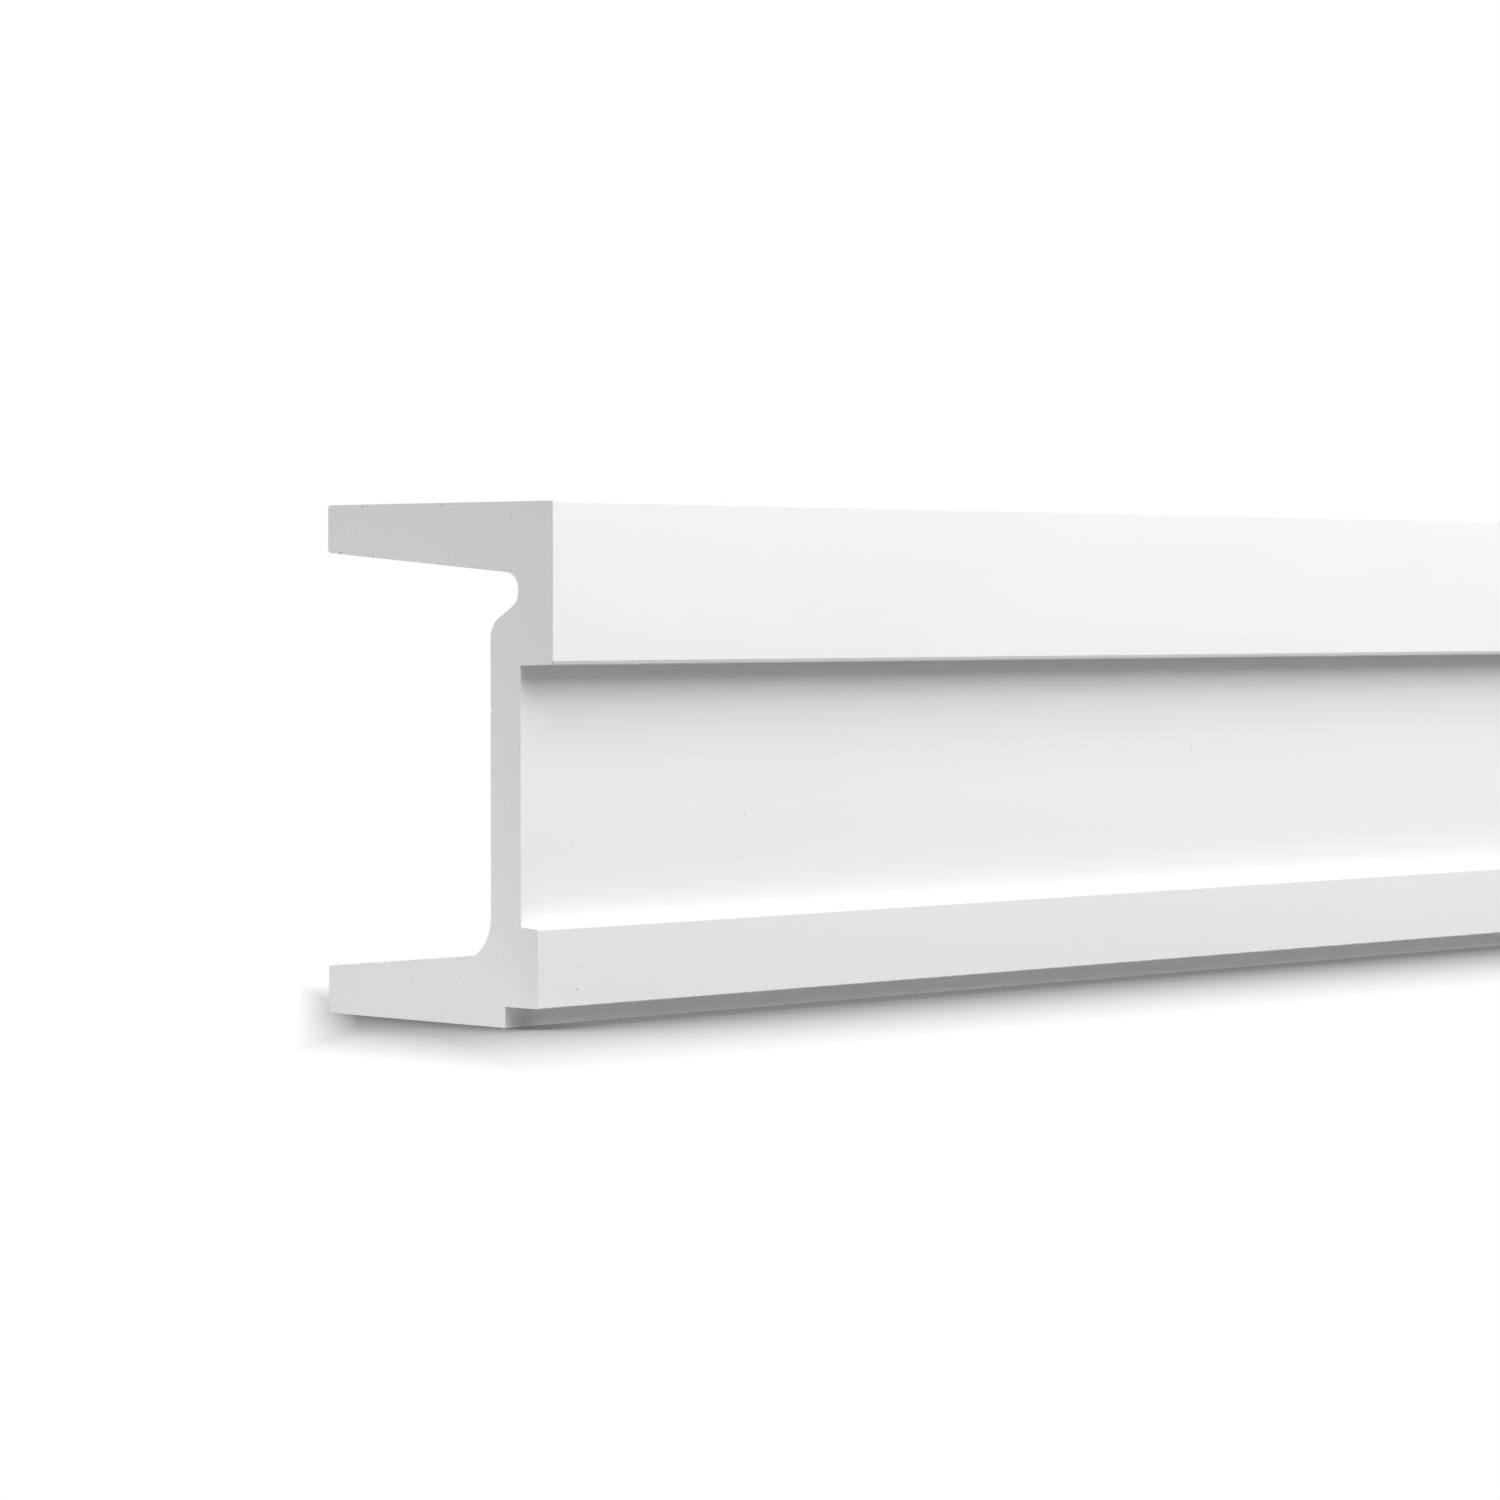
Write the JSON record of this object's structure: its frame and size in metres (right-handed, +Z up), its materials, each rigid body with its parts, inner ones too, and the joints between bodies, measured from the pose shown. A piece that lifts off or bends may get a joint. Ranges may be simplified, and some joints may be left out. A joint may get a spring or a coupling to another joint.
{
  "type": "panel moulding",
  "caption": "Straight white foam moulding with a deep upper fascia, a flat recessed frieze, a narrow stepped lower fascia and a hollow back, fixed along a wall.",
  "frame": {"origin": "middle of the base, on the floor that the moulding stands on", "axes": "+X along the length, -Y towards the show face, +Y towards the wall, +Z up"},
  "size_m": [2, 0.0966, 0.15],
  "materials": {
    "primed_foam": "matt white factory primer on rigid polyurethane foam, sawn ends"
  },
  "bodies": {
    "root": {"panel_moulding": "primed_foam"}
  },
  "joints": []
}
